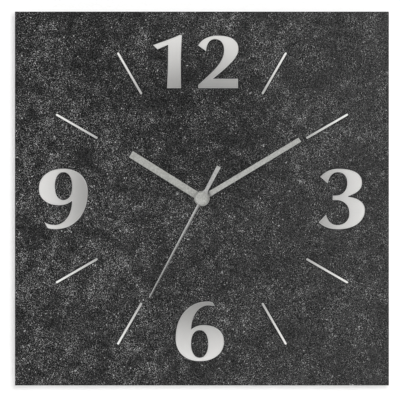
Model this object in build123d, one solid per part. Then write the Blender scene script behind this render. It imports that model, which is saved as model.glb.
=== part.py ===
from build123d import *

import os
from math import acos, atan2, cos, pi, radians, sin, sqrt, tan

# A frameless square wall clock. Everything is drawn in the dial's own frame, in millimetres:
# x to the right, y up from the hands' axis, z out of the wall towards the viewer, wall at z = 0.
# DIAL then stands it up: +Z up, the dial facing -Y, the origin in the hanger's nail hole.

# ---- driving dimensions ---------------------------------------------------------------------
HANGER_RISE = 37.0            # nail hole above the hands' axis

PANEL_SIDE = 300.0
SKIN = 0.3                    # aluminium skins of the composite panel
CORE = 2.4                    # polyethylene core between the skins

CASE_SIDE = 56.0
CASE_CORNER = 3.0
CASE_WALL = 1.2
COVER = 1.2                   # rear cover plate
CASE_REAR = 2.0               # rear face of the movement, off the wall
CASE_FRONT = 17.9             # front face of the movement
HANGER_SHEET = 1.0
HANGER_WIDTH = 22.0
HANGER_HOLE_R = 4.0
SHELF = CASE_SIDE / 2 + 0.4    # hanger's shelf, over the case
SHELF_TOP = SHELF + HANGER_SHEET
CUSHION = 0.5                 # rubber washer between hanger and panel

BUSH_R = 4.0                  # threaded bushing, outside
BUSH_BORE_R = 2.56
BUSH_PITCH = 0.75
FLANGE_R = 5.5                # its flange, let into the case wall
FLANGE = 0.8
SEAT = 0.05                   # play round the bushing in the case
HOUR_TUBE_R = 2.5
HOUR_TUBE_BORE_R = 1.66
ARBOR_R = 1.6                 # minute arbor
ARBOR_NECK_R = 1.2            # its neck, where the centre wheel slips
ARBOR_BORE_R = 0.56
STEM_R = 0.5                  # second-hand stem and the other steel arbors
PIVOT_R = 0.35
PIVOT_HOLE_R = 0.4
ARBOR_SEAT_R = 1.9            # shoulder that the centre wheel is pressed against
SPRING_R = 2.6                # clutch spring
HOUR_COLLET_R = 3.4
MINUTE_COLLET_R = 2.6
MAGNET_R = 2.5
MAGNET_BORE_R = 0.8
WEB_HOLES_AT = 6.2            # round holes in the webs of the larger wheels
WEB_HOLE_R = 1.8
KNOB_R = 4.4
KNOB_FLUTES = 24
KNOB_BOSS_R = 1.3
KNOB_SHAFT_R = 1.1
SETTING_PIVOT_R = 0.6
SETTING_PIVOT_FRONT = 17.2

NUMERAL_THICK = 1.0
BEVEL_WIDE = 0.7
BEVEL_DEEP = 0.5
SIX_SCALE = 0.988              # the six against the nine
MARKER_INNER_R = 96.8
MARKER_OUTER_R = 135.2
MARKER_WIDTH = 1.7
MARKER_BEVEL = 0.28

HOUR_ANGLE = -58.0            # clockwise from twelve, degrees
MINUTE_ANGLE = 59.0
SECOND_ANGLE = 207.9
HOUR_LENGTH = 67.0
HOUR_WIDTH = 5.8
MINUTE_LENGTH = 91.2
MINUTE_ROOT_WIDTH = 4.15
MINUTE_TIP_WIDTH = 3.85
SECOND_LENGTH = 89.4
SECOND_ROOT_WIDTH = 2.15
SECOND_TIP_WIDTH = 1.25
TAIL_LENGTH = 28.9
TAIL_ROOT_WIDTH = 2.5
TAIL_TIP_WIDTH = 3.4
BLADE = 0.5                   # sheet of the hour and minute hands
NEEDLE = 0.3                  # sheet of the second hand
NEEDLE_EDGE = 0.06            # the needle is a low roof: height of its edges
HUB_R = 6.15                  # disc of the minute hand
HOUR_HUB_R = 5.9
JOGGLE = 0.8                  # the minute blade steps forward just outside its disc
JOGGLE_START = 6.2
JOGGLE_RUN = 1.8
SHOULDER_WIDTH = 9.0          # where the tail of the second hand leaves its disc
SHOULDER_END = 7.8
CAP_R = 5.3
CAP_RISE = 1.5
STEM_BOSS_R = 1.0             # brass tube that grips the stem

WASHER_R = 5.9                # brass washer under the nut
WASHER = 0.4
NUT_FLATS = 10.5              # across its flats
NUT = 2.2
CUSHION_R = 11.0

BATTERY_R = 7.1
BATTERY_LENGTH = 49.2
BATTERY_NUB_R = 2.75
BATTERY_NUB = 1.3

SPACER_X = 112.0              # wall spacers, from the hands' axis
SPACER_Y = -112.0
SPACER_BASE_R = 11.0
SPACER_TOP_R = 8.0
FELT = 1.0

# ---- stack along z --------------------------------------------------------------------------
CHAMBER_REAR = CASE_REAR + COVER
CHAMBER_FRONT = CASE_FRONT - CASE_WALL
PANEL_BACK = CASE_FRONT + HANGER_SHEET + CUSHION
PANEL_FRONT = PANEL_BACK + SKIN + CORE + SKIN
NUT_BASE = PANEL_FRONT + WASHER
NUT_TOP = NUT_BASE + NUT
BUSH_TOP = NUT_TOP + 0.6
HOUR_BLADE_Z = PANEL_FRONT + 4.6
HOUR_TUBE_TOP = HOUR_BLADE_Z + 1.6
MINUTE_BLADE_Z = PANEL_FRONT + 7.2
ARBOR_TOP = MINUTE_BLADE_Z + 1.8
SECOND_BLADE_Z = PANEL_FRONT + 9.9
CAP_Z = SECOND_BLADE_Z + NEEDLE

BRIDGE_Z = (3.8, 4.6)         # rear train plate
PLATE_Z = (10.4, 11.4)        # middle plate
STATOR_Z = (8.8, 9.6)
CORE_Z = (STATOR_Z[1], STATOR_Z[1] + 0.8)
BOARD_Z = (BRIDGE_Z[1], BRIDGE_Z[1] + 1.0)
ROTOR_PINION_Z = (5.3, 6.6)   # wheels and pinions, from the rear
INTER_WHEEL_Z = (5.5, 6.3)
INTER_PINION_Z = (7.2, 8.6)
SECOND_WHEEL_Z = (7.5, 8.3)
MAGNET_Z = (7.8, 10.2)
SECOND_PINION_Z = (9.7, 10.9)
THIRD_WHEEL_Z = (10.0, 10.8)
THIRD_PINION_Z = (11.3, 12.8)
CENTRE_WHEEL_Z = (11.6, 12.6)
ARBOR_PINION_Z = (13.2, 14.6)
SETTING_WHEEL_Z = (13.4, 14.4)
SETTING_PINION_Z = (14.4, 16.3)
HOUR_WHEEL_Z = (15.1, 16.3)
PIVOT_REAR = 3.9              # pivots in the rear plate
SHOULDER_REAR = 4.7           # arbors' shoulders in front of it
MOTOR_PIVOT_FRONT = 11.2      # pivots in the middle plate
MOTOR_SHOULDER_FRONT = 10.3
THIRD_BOSS_REAR = 13.3        # boss in the case for the third wheel's front pivot
THIRD_PIVOT_FRONT = 14.3
KNOB_Z = (0.4, 1.8)

# ---- gear train -----------------------------------------------------------------------------
PRESSURE = radians(20)
PLAY = 0.12                   # backlash, in modules
SHIFT = {8: 0.5, 10: 0.4}     # profile shift of a pinion by its leaves; its wheel takes the same less
LEAF_TOP = 0.8                # addendum of pinions and wheels, in modules
TOOTH_TOP = 1.0
DEDENDUM = 1.25
ROTOR_MODULE = 0.26           # rotor pinion and intermediate wheel
INTER_MODULE = 0.30           # intermediate pinion and second wheel
THIRD_MODULE = 0.34           # second pinion and third wheel
CENTRE_MODULE = THIRD_MODULE * 34 / 36   # third pinion and centre wheel, same centre distance
MOTION_MODULE = 0.60          # motion work under the dial


def polar(distance, angle):
    return (distance * cos(radians(angle)), distance * sin(radians(angle)))


THIRD_DIRECTION = 150.0
SETTING_DIRECTION = 5.0
INTER_DIRECTION = 80.0
ROTOR_DIRECTION = 40.0        # seen from the intermediate wheel
THIRD_AT = polar(34 * THIRD_MODULE, THIRD_DIRECTION)
SETTING_AT = polar(20 * MOTION_MODULE, SETTING_DIRECTION)
INTER_AT = polar(35 * INTER_MODULE, INTER_DIRECTION)
ROTOR_STEP = polar(30 * ROTOR_MODULE, ROTOR_DIRECTION)
ROTOR_AT = (INTER_AT[0] + ROTOR_STEP[0], INTER_AT[1] + ROTOR_STEP[1])

BAY_TOP = -12.1               # battery bay, below the train
DIVIDER = 0.8
INSIDE = CASE_SIDE / 2 - CASE_WALL
BATTERY_AT = (-INSIDE + 0.3 + BATTERY_R, CASE_REAR + 0.3 + BATTERY_R)   # its axis, (y, z)
POST_R = 1.6                  # posts that carry the plates, with wider feet
POST_FOOT_R = 2.0
POST_AT = [(24.6, 24.6), (-24.6, 24.6), (24.6, -9.0), (-24.6, -9.0)]
MOTOR_X = (-12.0, 20.0)       # stator and coil core, left and right ends
COIL_Y = 22.8
COIL_Z = (CORE_Z[0] + CORE_Z[1]) / 2
CORE_HALF = 1.5
BOBBIN_X = (-8.0, 16.0)
SPOOL_R = 1.9
CHEEK_R = 3.6
CHEEK = 0.8
WINDING_R = 3.1
CRYSTAL_R = 1.0
CRYSTAL_LENGTH = 6.0
PEG_R = 0.7                   # stator pegs on the middle plate
PEG_AT = [(-10.5, 17.6), (18.5, 17.6)]

DIAL = Plane(origin=(0, 0, -HANGER_RISE), x_dir=(1, 0, 0), z_dir=(0, -1, 0))


# ---- building blocks ------------------------------------------------------------------------
def rod(radius, low, high, at=(0, 0)):
    """A round bar along z."""
    return Pos(at[0], at[1], low) * extrude(Circle(radius), high - low)


def tube(radius, bore, low, high, at=(0, 0)):
    return rod(radius, low, high, at) - rod(bore, low, high, at)


def block(x, y, z):
    """A box from three (low, high) pairs."""
    size = [high - low for low, high in (x, y, z)]
    middle = [(high + low) / 2 for low, high in (x, y, z)]
    return Pos(*middle) * Box(*size)


def plate(sketch, low, high):
    return Pos(0, 0, low) * extrude(sketch, high - low)


def outline(start, *steps):
    """A closed face. A step of one point is a line; one of three points is a cubic curve."""
    edges = []
    here = start
    for step in steps:
        edges.append(Line(here, step[0]) if len(step) == 1 else Bezier(here, *step))
        here = step[-1]
    if here != start:
        edges.append(Line(here, start))
    return make_face(edges)


def bevelled(face, wide, deep, thick=NUMERAL_THICK):
    """A flat sign glued on the panel, its front edges bevelled."""
    solid = plate(face, PANEL_FRONT, PANEL_FRONT + thick)
    front = solid.faces().sort_by(Axis.Z)[-1]
    return chamfer(front.edges(), deep, wide, reference=front)


def gear(teeth, module, shift, levels, at=(0, 0), phase=0.0):
    """Involute spur gear: a pinion where the profile shift is positive, and otherwise a wheel."""
    pitch_r = teeth * module / 2
    base_r = pitch_r * cos(PRESSURE)
    tip_r = pitch_r + ((LEAF_TOP if shift > 0 else TOOTH_TOP) + shift) * module
    root_r = pitch_r - (DEDENDUM - shift) * module
    half = (pi / 2 + 2 * shift * tan(PRESSURE) - PLAY / 2) / teeth + involute(PRESSURE)
    start_r = max(root_r, base_r)

    def flank(radius, side, centre):
        spread = half - involute(acos(min(1.0, base_r / radius)))
        angle = centre + side * spread
        return (radius * cos(angle), radius * sin(angle))

    edges = []
    middle_r = (start_r + tip_r) / 2
    for tooth in range(teeth):
        centre = phase + 2 * pi * tooth / teeth
        following = centre + 2 * pi / teeth
        foot_in = flank(start_r, -1, centre)
        foot_out = flank(start_r, 1, centre)
        foot_next = flank(start_r, -1, following)
        edges.append(ThreePointArc(foot_in, flank(middle_r, -1, centre), flank(tip_r, -1, centre)))
        top = (tip_r * cos(centre), tip_r * sin(centre))
        edges.append(ThreePointArc(flank(tip_r, -1, centre), top, flank(tip_r, 1, centre)))
        edges.append(ThreePointArc(flank(tip_r, 1, centre), flank(middle_r, 1, centre), foot_out))
        gap = centre + pi / teeth
        bottom = (root_r * cos(gap), root_r * sin(gap))
        if root_r < base_r:
            root_out = tuple(c * root_r / start_r for c in foot_out)
            root_next = tuple(c * root_r / start_r for c in foot_next)
            edges.append(Line(foot_out, root_out))
            edges.append(ThreePointArc(root_out, bottom, root_next))
            edges.append(Line(root_next, foot_next))
        else:
            edges.append(ThreePointArc(foot_out, bottom, foot_next))
    return Pos(at[0], at[1], 0) * plate(make_face(edges), *levels)


def involute(angle):
    return tan(angle) - angle


def meshed_phase(driver_teeth, driven_teeth, driver_at, driven_at):
    """Phase that puts a gap of the driven gear over a tooth of a driver of phase zero."""
    line = atan2(driven_at[1] - driver_at[1], driven_at[0] - driver_at[0])
    return line + pi + line * driver_teeth / driven_teeth + pi / driven_teeth


def lightened(body, count, radius, hole_r, levels, at=(0, 0)):
    """A wheel with a ring of round holes through its web."""
    for hole in range(count):
        x, y = polar(radius, 360 * hole / count + 15)
        body -= rod(hole_r, *levels, at=(at[0] + x, at[1] + y))
    return body


def hand_face(length, root_width, tip_width, angle):
    """A tapering blade from the axis outwards, turned clockwise from twelve."""
    root = root_width / 2
    tip = tip_width / 2
    blade = make_face(Polyline((-root, 0), (-tip, length), (tip, length), (root, 0), close=True))
    return Rot(0, 0, -angle) * blade


# ---- dial -----------------------------------------------------------------------------------
def panel_layer(low, high):
    return block((-PANEL_SIDE / 2, PANEL_SIDE / 2), (-PANEL_SIDE / 2, PANEL_SIDE / 2), (low, high)) \
        - rod(BUSH_R + 0.15, low, high)


def digit_one():
    """Origin at the lower left corner of its box."""
    return outline((0, 34.5), ((8.5, 37.6), (15.0, 39.6), (21.5, 42.7)), ((23.3, 42.4),),
                   ((22.2, 28.0), (22.2, 14.0), (22.6, 0)), ((11.3, 0),),
                   ((12.0, 12.0), (12.2, 24.0), (12.1, 34.8)), ((3.7, 31.1),))


def digit_two():
    """Origin at the lower left corner of its box."""
    return outline((0, 34.2), ((2.6, 39.3), (8.6, 42.1), (15.8, 42.1)),
                   ((25.3, 42.1), (32.3, 39.1), (32.3, 31.3)),
                   ((32.3, 24.3), (23.3, 16.9), (11.8, 7.5)), ((31.9, 7.5),), ((31.9, 0),),
                   ((0, 0),), ((0.1, 2.5),), ((9.0, 11.3), (20.8, 19.6), (20.8, 30.4)),
                   ((20.8, 35.7), (18.1, 39.3), (13.5, 39.3)),
                   ((8.8, 39.3), (6.9, 35.2), (6.3, 29.7)))


def digit_three():
    """Origin at the middle of its box."""
    return outline((-17.4, 17.7), ((-14.0, 21.8), (-9.0, 24.2), (-2.9, 24.2)),
                   ((9.0, 24.2), (16.0, 20.6), (16.0, 12.9)),
                   ((16.0, 7.6), (11.5, 4.3), (5.0, 2.35)), ((5.0, 1.65),),
                   ((12.3, 1.0), (18.3, -2.5), (18.3, -8.9)),
                   ((18.3, -18.2), (9.4, -24.3), (-3.2, -24.3)),
                   ((-9.8, -24.3), (-14.6, -22.5), (-18.7, -18.7)), ((-12.8, -12.5),),
                   ((-11.6, -17.6), (-8.4, -20.9), (-3.9, -20.9)),
                   ((2.2, -20.9), (5.9, -17.0), (5.9, -11.3)),
                   ((5.9, -4.6), (0.8, -0.9), (-4.0, -0.9)), ((-7.5, -0.9),), ((-7.5, 2.7),),
                   ((-5.5, 2.7),), ((0.6, 2.7), (4.2, 6.9), (4.2, 12.8)),
                   ((4.2, 18.2), (1.4, 21.5), (-3.2, 21.5)),
                   ((-8.2, 21.5), (-10.6, 17.0), (-11.5, 12.5)))


def digit_nine(tip=(-15.2, -18.6), cut=(-12.7, -23.2), inner=-20.9):
    """Origin at the middle of its box. The tail's end is cut straight from tip to cut."""
    tail = -7.1 - tip[0]
    end = -6.4 - cut[0]
    body = outline((0, 24.3), ((-11.5, 24.3), (-19.6, 18.0), (-19.6, 8.4)),
                   ((-19.6, -0.3), (-12.6, -5.0), (-3.2, -5.0)),
                   ((1.0, -5.0), (4.6, -3.6), (7.0, -1.4)),
                   ((7.0, -12.5), (1.0, inner), (-7.1, inner)),
                   ((-7.1 - 0.4 * tail, inner), (-7.1 - 0.73 * tail, 0.6 * inner + 0.4 * tip[1]), tip),
                   (cut,),
                   ((cut[0] + 0.3 * end, -24.0), (cut[0] + 0.63 * end, -24.2), (-6.4, -24.2)),
                   ((9.6, -24.2), (19.6, -11.4), (19.6, 5.5)),
                   ((19.6, 17.6), (11.4, 24.3), (0, 24.3)))
    counter = outline((0.1, 21.5), ((-4.3, 21.5), (-6.8, 16.6), (-6.8, 10.3)),
                      ((-6.8, 3.6), (-4.4, -0.9), (0.1, -0.9)),
                      ((4.6, -0.9), (7.1, 3.6), (7.1, 10.3)),
                      ((7.1, 16.6), (4.5, 21.5), (0.1, 21.5)))
    return body - counter


def numerals():
    """The six is a slightly smaller nine turned upside down, with a shorter and finer tail."""
    six = digit_nine((-12.3, -20.45), (-10.6, -23.3), -21.05).scale(SIX_SCALE)
    places = {
        "numeral_12_one": Pos(-39.3, 88.6) * digit_one(),
        "numeral_12_two": Pos(-3.0, 88.6) * digit_two(),
        "numeral_03": Pos(112.4, -0.35) * digit_three(),
        "numeral_06": Pos(-1.7, -106.5) * Rot(0, 0, 180) * six,
        "numeral_09": Pos(-111.2, -0.35) * digit_nine(),
    }
    return {name: bevelled(face, BEVEL_WIDE, BEVEL_DEEP) for name, face in places.items()}


def hour_marker(hour):
    bar = SlotOverall(MARKER_OUTER_R - MARKER_INNER_R, MARKER_WIDTH)
    middle = (MARKER_OUTER_R + MARKER_INNER_R) / 2
    face = Rot(0, 0, -30 * hour) * Pos(0, middle) * Rot(0, 0, 90) * bar
    return bevelled(face, MARKER_BEVEL, MARKER_BEVEL)


# ---- hands ----------------------------------------------------------------------------------
def hour_hand():
    face = hand_face(HOUR_LENGTH, HOUR_WIDTH, HOUR_WIDTH, HOUR_ANGLE) + Circle(HOUR_HUB_R)
    return plate(face, HOUR_BLADE_Z, HOUR_BLADE_Z + BLADE) \
        - rod(HOUR_COLLET_R, HOUR_BLADE_Z, HOUR_BLADE_Z + BLADE)


def minute_hand():
    """Flat disc and root, a short slope, then the blade one joggle further out."""
    z = MINUTE_BLADE_Z
    end = JOGGLE_START + JOGGLE_RUN
    profile = Polyline((0, z), (JOGGLE_START, z), (end, z + JOGGLE), (MINUTE_LENGTH, z + JOGGLE),
                       (MINUTE_LENGTH, z + JOGGLE + BLADE), (end, z + JOGGLE + BLADE),
                       (JOGGLE_START, z + BLADE), (0, z + BLADE), close=True)
    side = Plane(origin=(0, 0, 0), x_dir=(0, 1, 0), z_dir=(1, 0, 0)) * make_face(profile)
    strip = Pos(-MINUTE_ROOT_WIDTH, 0, 0) * extrude(side, 2 * MINUTE_ROOT_WIDTH)
    taper = plate(hand_face(MINUTE_LENGTH, MINUTE_ROOT_WIDTH, MINUTE_TIP_WIDTH, 0), z,
                  z + JOGGLE + BLADE)
    blade = Rot(0, 0, -MINUTE_ANGLE) * (strip & taper)
    return blade + rod(HUB_R, z, z + BLADE) - rod(MINUTE_COLLET_R, z, z + BLADE)


def roof(along, width):
    """Section of the needle across its length: two slopes that meet in a ridge."""
    half = width / 2
    section = make_face(Polyline((-half, 0), (-half, NEEDLE_EDGE), (0, NEEDLE), (half, NEEDLE_EDGE),
                                 (half, 0), close=True))
    return Plane(origin=(0, along, SECOND_BLADE_Z), x_dir=(1, 0, 0), z_dir=(0, -1, 0)) * section


def second_hand():
    """Ridged needle and flat counterweight tail, of one piece with the disc under the cap."""
    needle = loft([roof(0, SECOND_ROOT_WIDTH), roof(SECOND_LENGTH, SECOND_TIP_WIDTH)], ruled=True)
    tail = hand_face(TAIL_LENGTH, TAIL_ROOT_WIDTH, TAIL_TIP_WIDTH, SECOND_ANGLE + 180)
    shoulder = hand_face(SHOULDER_END, SHOULDER_WIDTH, TAIL_ROOT_WIDTH, SECOND_ANGLE + 180)
    body = plate(tail + shoulder + Circle(CAP_R - 0.5), SECOND_BLADE_Z, SECOND_BLADE_Z + NEEDLE)
    body += Rot(0, 0, -SECOND_ANGLE) * needle
    return body - rod(STEM_BOSS_R, SECOND_BLADE_Z, SECOND_BLADE_Z + NEEDLE)


def second_hand_cap():
    """A low dome with a rounded rim, hollow over the end of the stem."""
    profile = make_face([
        Line((0, CAP_Z), (CAP_R - 0.2, CAP_Z)),
        Bezier((CAP_R - 0.2, CAP_Z), (CAP_R + 0.1, CAP_Z + 0.55), (CAP_R - 0.7, CAP_Z + 0.85)),
        Bezier((CAP_R - 0.7, CAP_Z + 0.85), (3.2, CAP_Z + CAP_RISE), (0, CAP_Z + CAP_RISE)),
        Line((0, CAP_Z + CAP_RISE), (0, CAP_Z)),
    ])
    dome = revolve(Plane.XZ * profile, Axis.Z)
    return dome - rod(STEM_BOSS_R + 0.05, CAP_Z, CAP_Z + 0.9)


def second_hand_tube():
    return tube(STEM_BOSS_R, STEM_R, SECOND_BLADE_Z - 0.5, CAP_Z + 0.6)


# ---- fixing of the movement -----------------------------------------------------------------
def threaded_bushing():
    """The flange sits in the case wall. Rings stand for the thread outside."""
    body = tube(BUSH_R, BUSH_BORE_R, CHAMBER_FRONT, BUSH_TOP)
    body += tube(FLANGE_R, BUSH_BORE_R, CHAMBER_FRONT, CHAMBER_FRONT + FLANGE)
    groove = make_face(Polyline((BUSH_R - 0.25, 0), (BUSH_R + 0.1, 0.25), (BUSH_R + 0.1, -0.25),
                                close=True))
    ring = revolve(Plane.XZ * groove, Axis.Z)
    count = int((BUSH_TOP - CASE_FRONT) / BUSH_PITCH)
    for turn in range(count):
        body -= Pos(0, 0, BUSH_TOP - BUSH_PITCH * (turn + 0.7)) * ring
    return body


def hex_nut():
    nut = plate(RegularPolygon(radius=NUT_FLATS / sqrt(3), side_count=6), NUT_BASE, NUT_TOP)
    nut = nut & revolve(Plane.XZ * make_face(Polyline(
        (0, NUT_BASE), (6.2, NUT_BASE), (6.2, NUT_TOP - 0.5), (5.2, NUT_TOP), (0, NUT_TOP),
        close=True)), Axis.Z)
    return nut - rod(BUSH_R + 0.05, NUT_BASE, NUT_TOP)


def hanger():
    """Sheet steel: a tongue clamped under the nut, bent back into a shelf over the case."""
    half = HANGER_WIDTH / 2
    front = CASE_FRONT + HANGER_SHEET
    tongue = block((-half, half), (0, SHELF_TOP), (CASE_FRONT, front)) \
        + rod(half, CASE_FRONT, front)
    body = tongue + block((-half, half), (SHELF, SHELF_TOP), (0, front))
    bend = body.edges().filter_by(Axis.X)
    outer = [edge for edge in bend if edge.center().Y > SHELF + 0.5 and edge.center().Z > 1]
    inner = [edge for edge in bend if abs(edge.center().Y - SHELF) < 0.01
             and 1 < edge.center().Z < CASE_FRONT + 0.01]
    body = fillet(outer + inner, 0.35)
    return body - rod(BUSH_R + 0.1, CASE_FRONT, front)


def hanger_plate():
    """The plate with the nail hole, welded on the shelf's rear edge."""
    half = HANGER_WIDTH / 2
    body = block((-half, half), (SHELF_TOP, HANGER_RISE), (0, HANGER_SHEET)) \
        + rod(half, 0, HANGER_SHEET, (0, HANGER_RISE))
    body &= block((-half, half), (SHELF_TOP, HANGER_RISE + half), (0, HANGER_SHEET))
    return body - rod(HANGER_HOLE_R, 0, HANGER_SHEET, (0, HANGER_RISE))


def wall_spacer(side):
    """A tapered foot glued on the panel's back."""
    low = FELT
    high = PANEL_BACK
    profile = make_face(Polyline((0, low), (SPACER_TOP_R, low), (SPACER_BASE_R, high - 1.5),
                                 (SPACER_BASE_R, high), (0, high), close=True))
    return Pos(side * SPACER_X, SPACER_Y, 0) * revolve(Plane.XZ * profile, Axis.Z)


def felt_pad(side):
    return rod(SPACER_TOP_R - 0.3, 0, FELT, (side * SPACER_X, SPACER_Y))


# ---- movement case --------------------------------------------------------------------------
def case_outline():
    return RectangleRounded(CASE_SIDE, CASE_SIDE, CASE_CORNER)


def front_case():
    """A tray open to the rear: train chamber above, battery bay below, posts for the plates."""
    body = plate(case_outline(), CHAMBER_REAR, CASE_FRONT)
    chamber = (BAY_TOP + DIVIDER, INSIDE)
    body -= block((-INSIDE, INSIDE), chamber, (CHAMBER_REAR, CHAMBER_FRONT))
    body -= block((-INSIDE, INSIDE), (-INSIDE, BAY_TOP), (CHAMBER_REAR, CHAMBER_FRONT))
    for side in (-1, 1):      # notches that let the contacts through the divider
        body -= block(sorted((side * INSIDE, side * (INSIDE - 0.8))),
                      (BAY_TOP, BAY_TOP + DIVIDER), (5.4, 8.2))
    for at in POST_AT:
        body += rod(POST_R, BRIDGE_Z[1], PLATE_Z[1], at)
        body += rod(POST_FOOT_R, PLATE_Z[1], CHAMBER_FRONT, at)
    body += rod(1.1, THIRD_BOSS_REAR, CHAMBER_FRONT, THIRD_AT)
    body -= rod(PIVOT_HOLE_R, THIRD_BOSS_REAR, THIRD_PIVOT_FRONT + 0.3, THIRD_AT)
    body -= rod(BUSH_R + SEAT, CHAMBER_FRONT, CASE_FRONT)
    body -= rod(FLANGE_R + SEAT, CHAMBER_FRONT, CHAMBER_FRONT + FLANGE)
    body -= rod(SETTING_PIVOT_R + 0.06, CHAMBER_FRONT, SETTING_PIVOT_FRONT + 0.2, SETTING_AT)
    return body


def rear_cover():
    """A plate with the battery window, a well for the setting knob and polarity marks."""
    body = plate(case_outline(), CASE_REAR, CHAMBER_REAR)
    lip_low = BAY_TOP + DIVIDER + 0.1
    lip = block((-INSIDE + 0.1, INSIDE - 0.1), (lip_low, INSIDE - 0.1),
                (CHAMBER_REAR, CHAMBER_REAR + 0.5))
    lip -= block((-INSIDE + 0.9, INSIDE - 0.9), (lip_low + 0.8, INSIDE - 0.9),
                 (CHAMBER_REAR, CHAMBER_REAR + 0.5))
    body += lip
    body -= block((-INSIDE + 0.4, INSIDE - 0.4), (-INSIDE + 0.1, BAY_TOP - 0.1),
                  (CASE_REAR, CHAMBER_REAR))
    body -= rod(KNOB_R + 0.8, CASE_REAR, CASE_REAR + 0.4, SETTING_AT)
    body -= rod(KNOB_BOSS_R + 0.1, CASE_REAR, CHAMBER_REAR, SETTING_AT)
    body += tube(3.2, 2.4, CASE_REAR - 0.4, CASE_REAR)
    mark_y = BAY_TOP + 4.2
    plus = block((20.0, 24.0), (mark_y - 0.4, mark_y + 0.4), (CASE_REAR, CASE_REAR + 0.3)) \
        + block((21.6, 22.4), (mark_y - 2.0, mark_y + 2.0), (CASE_REAR, CASE_REAR + 0.3))
    minus = block((-24.0, -20.0), (mark_y - 0.4, mark_y + 0.4), (CASE_REAR, CASE_REAR + 0.3))
    body -= plus + minus
    for row in range(4):      # sound slots over the motor
        y = 13.0 + 2.4 * row
        body -= block((-20.0, -8.0), (y, y + 0.9), (CASE_REAR, CHAMBER_REAR))
    return body


def train_bridge():
    """Rear plate of the train, resting on the four posts."""
    low, high = BRIDGE_Z
    edge = 0.2
    body = block((-INSIDE + edge, INSIDE - edge), (BAY_TOP + DIVIDER + edge, INSIDE - edge),
                 (low, high))
    body -= rod(ARBOR_BORE_R, low, high)
    for at in (THIRD_AT, INTER_AT, ROTOR_AT):
        body -= rod(PIVOT_HOLE_R, low, high, at)
    return body - rod(KNOB_SHAFT_R + 0.06, low, high, SETTING_AT)


def middle_plate():
    """Front plate of the motor, cut away round the third wheel and the coil, with two pegs."""
    low, high = PLATE_Z
    body = block((-INSIDE + 0.2, INSIDE - 0.2), (9.0, INSIDE - 0.2), (low, high))
    body -= rod(11.0, low, high, THIRD_AT)
    body -= block((-8.6, 16.6), (18.2, INSIDE), (low, high))
    for at in POST_AT:
        body -= rod(POST_R + 0.05, low, high, at)
    for at in (INTER_AT, ROTOR_AT):
        body -= rod(PIVOT_HOLE_R, low, high, at)
    for at in PEG_AT:
        body += rod(PEG_R, STATOR_Z[0] - 0.4, low, at)
    return body


# ---- motor and electrics --------------------------------------------------------------------
def stator():
    """A soft-iron plate round the rotor, with an arm up to each end of the coil's core."""
    low, high = MOTOR_X
    bar = block(MOTOR_X, (11.6, 18.9), STATOR_Z)
    arms = [block((x, x + 3.0), (18.9, COIL_Y + 1.7), STATOR_Z) for x in (low, high - 3.0)]
    body = bar + arms - rod(MAGNET_R + 0.4, *STATOR_Z, at=ROTOR_AT)
    for at in PEG_AT:
        body -= rod(PEG_R + 0.05, *STATOR_Z, at=at)
    return body


def coil_core():
    return block(MOTOR_X, (COIL_Y - CORE_HALF, COIL_Y + CORE_HALF), CORE_Z)


def drum(radius, low, high):
    """A round bar along x on the coil's axis."""
    return Pos(low, COIL_Y, COIL_Z) * Rot(0, 90, 0) * extrude(Circle(radius), high - low)


def coil_bobbin():
    low, high = BOBBIN_X
    body = drum(SPOOL_R, low, high) + drum(CHEEK_R, low, low + CHEEK) \
        + drum(CHEEK_R, high - CHEEK, high)
    return body - block(BOBBIN_X, (COIL_Y - CORE_HALF, COIL_Y + CORE_HALF), CORE_Z)


def coil_winding():
    ends = (BOBBIN_X[0] + CHEEK, BOBBIN_X[1] - CHEEK)
    return drum(WINDING_R, *ends) - drum(SPOOL_R, *ends)


def circuit_board():
    return block((-22.6, -12.5), (-10.0, 25.0), BOARD_Z)


def driver_chip():
    """A dome of black resin over the bare chip: the top of a ball."""
    ball_r = 3.2
    sunk = 1.8
    cap = Sphere(ball_r) & block((-ball_r, ball_r), (-ball_r, ball_r), (sunk, ball_r))
    return Pos(-17.5, 6.0, BOARD_Z[1] - sunk) * cap


def quartz_crystal():
    """A small can lying on the board."""
    return Pos(-19.5, 14.0, BOARD_Z[1] + CRYSTAL_R) * Rot(-90, 0, 0) \
        * extrude(Circle(CRYSTAL_R), CRYSTAL_LENGTH)


def battery():
    """A single AA cell lying along x, its nub to the right."""
    cell = extrude(Circle(BATTERY_R), BATTERY_LENGTH)
    cell = chamfer(cell.edges(), 0.4)
    cell += Pos(0, 0, BATTERY_LENGTH) * extrude(Circle(BATTERY_NUB_R), BATTERY_NUB)
    end = INSIDE - 0.6
    return Pos(end - BATTERY_LENGTH - BATTERY_NUB, *BATTERY_AT) * Rot(0, 90, 0) * cell


def contact_strip(side):
    """A sprung plate at the bay's end, its tongue through the divider and onto the board."""
    wall = side * (INSIDE - 0.2)
    face = side * (INSIDE - 0.6)
    x = sorted((wall, face))
    body = block(x, (-25.0, -13.4), (4.6, 14.4))
    body += block(x, (-13.4, -7.0), (5.6, 8.0))
    return body


def positive_contact():
    return contact_strip(1)


def negative_contact():
    """The strip with its foot on the board."""
    foot = block((-INSIDE + 0.2, -21.6), (-7.4, -7.0), (5.6, 8.0))
    return contact_strip(-1) + foot


def battery_spring():
    """A conical spring between the negative strip and the cell."""
    start = -INSIDE + 0.6
    length = INSIDE - 0.6 - BATTERY_LENGTH - BATTERY_NUB - start
    wire = 0.25
    path = Helix(pitch=(length - 2 * wire) / 3, height=length - 2 * wire, radius=4.2, cone_angle=-35)
    section = Plane(origin=path @ 0, z_dir=path % 0) * Circle(wire)
    coil = sweep(section, path=path, is_frenet=True)
    return Pos(start + wire, *BATTERY_AT) * Rot(0, 90, 0) * coil


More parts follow.
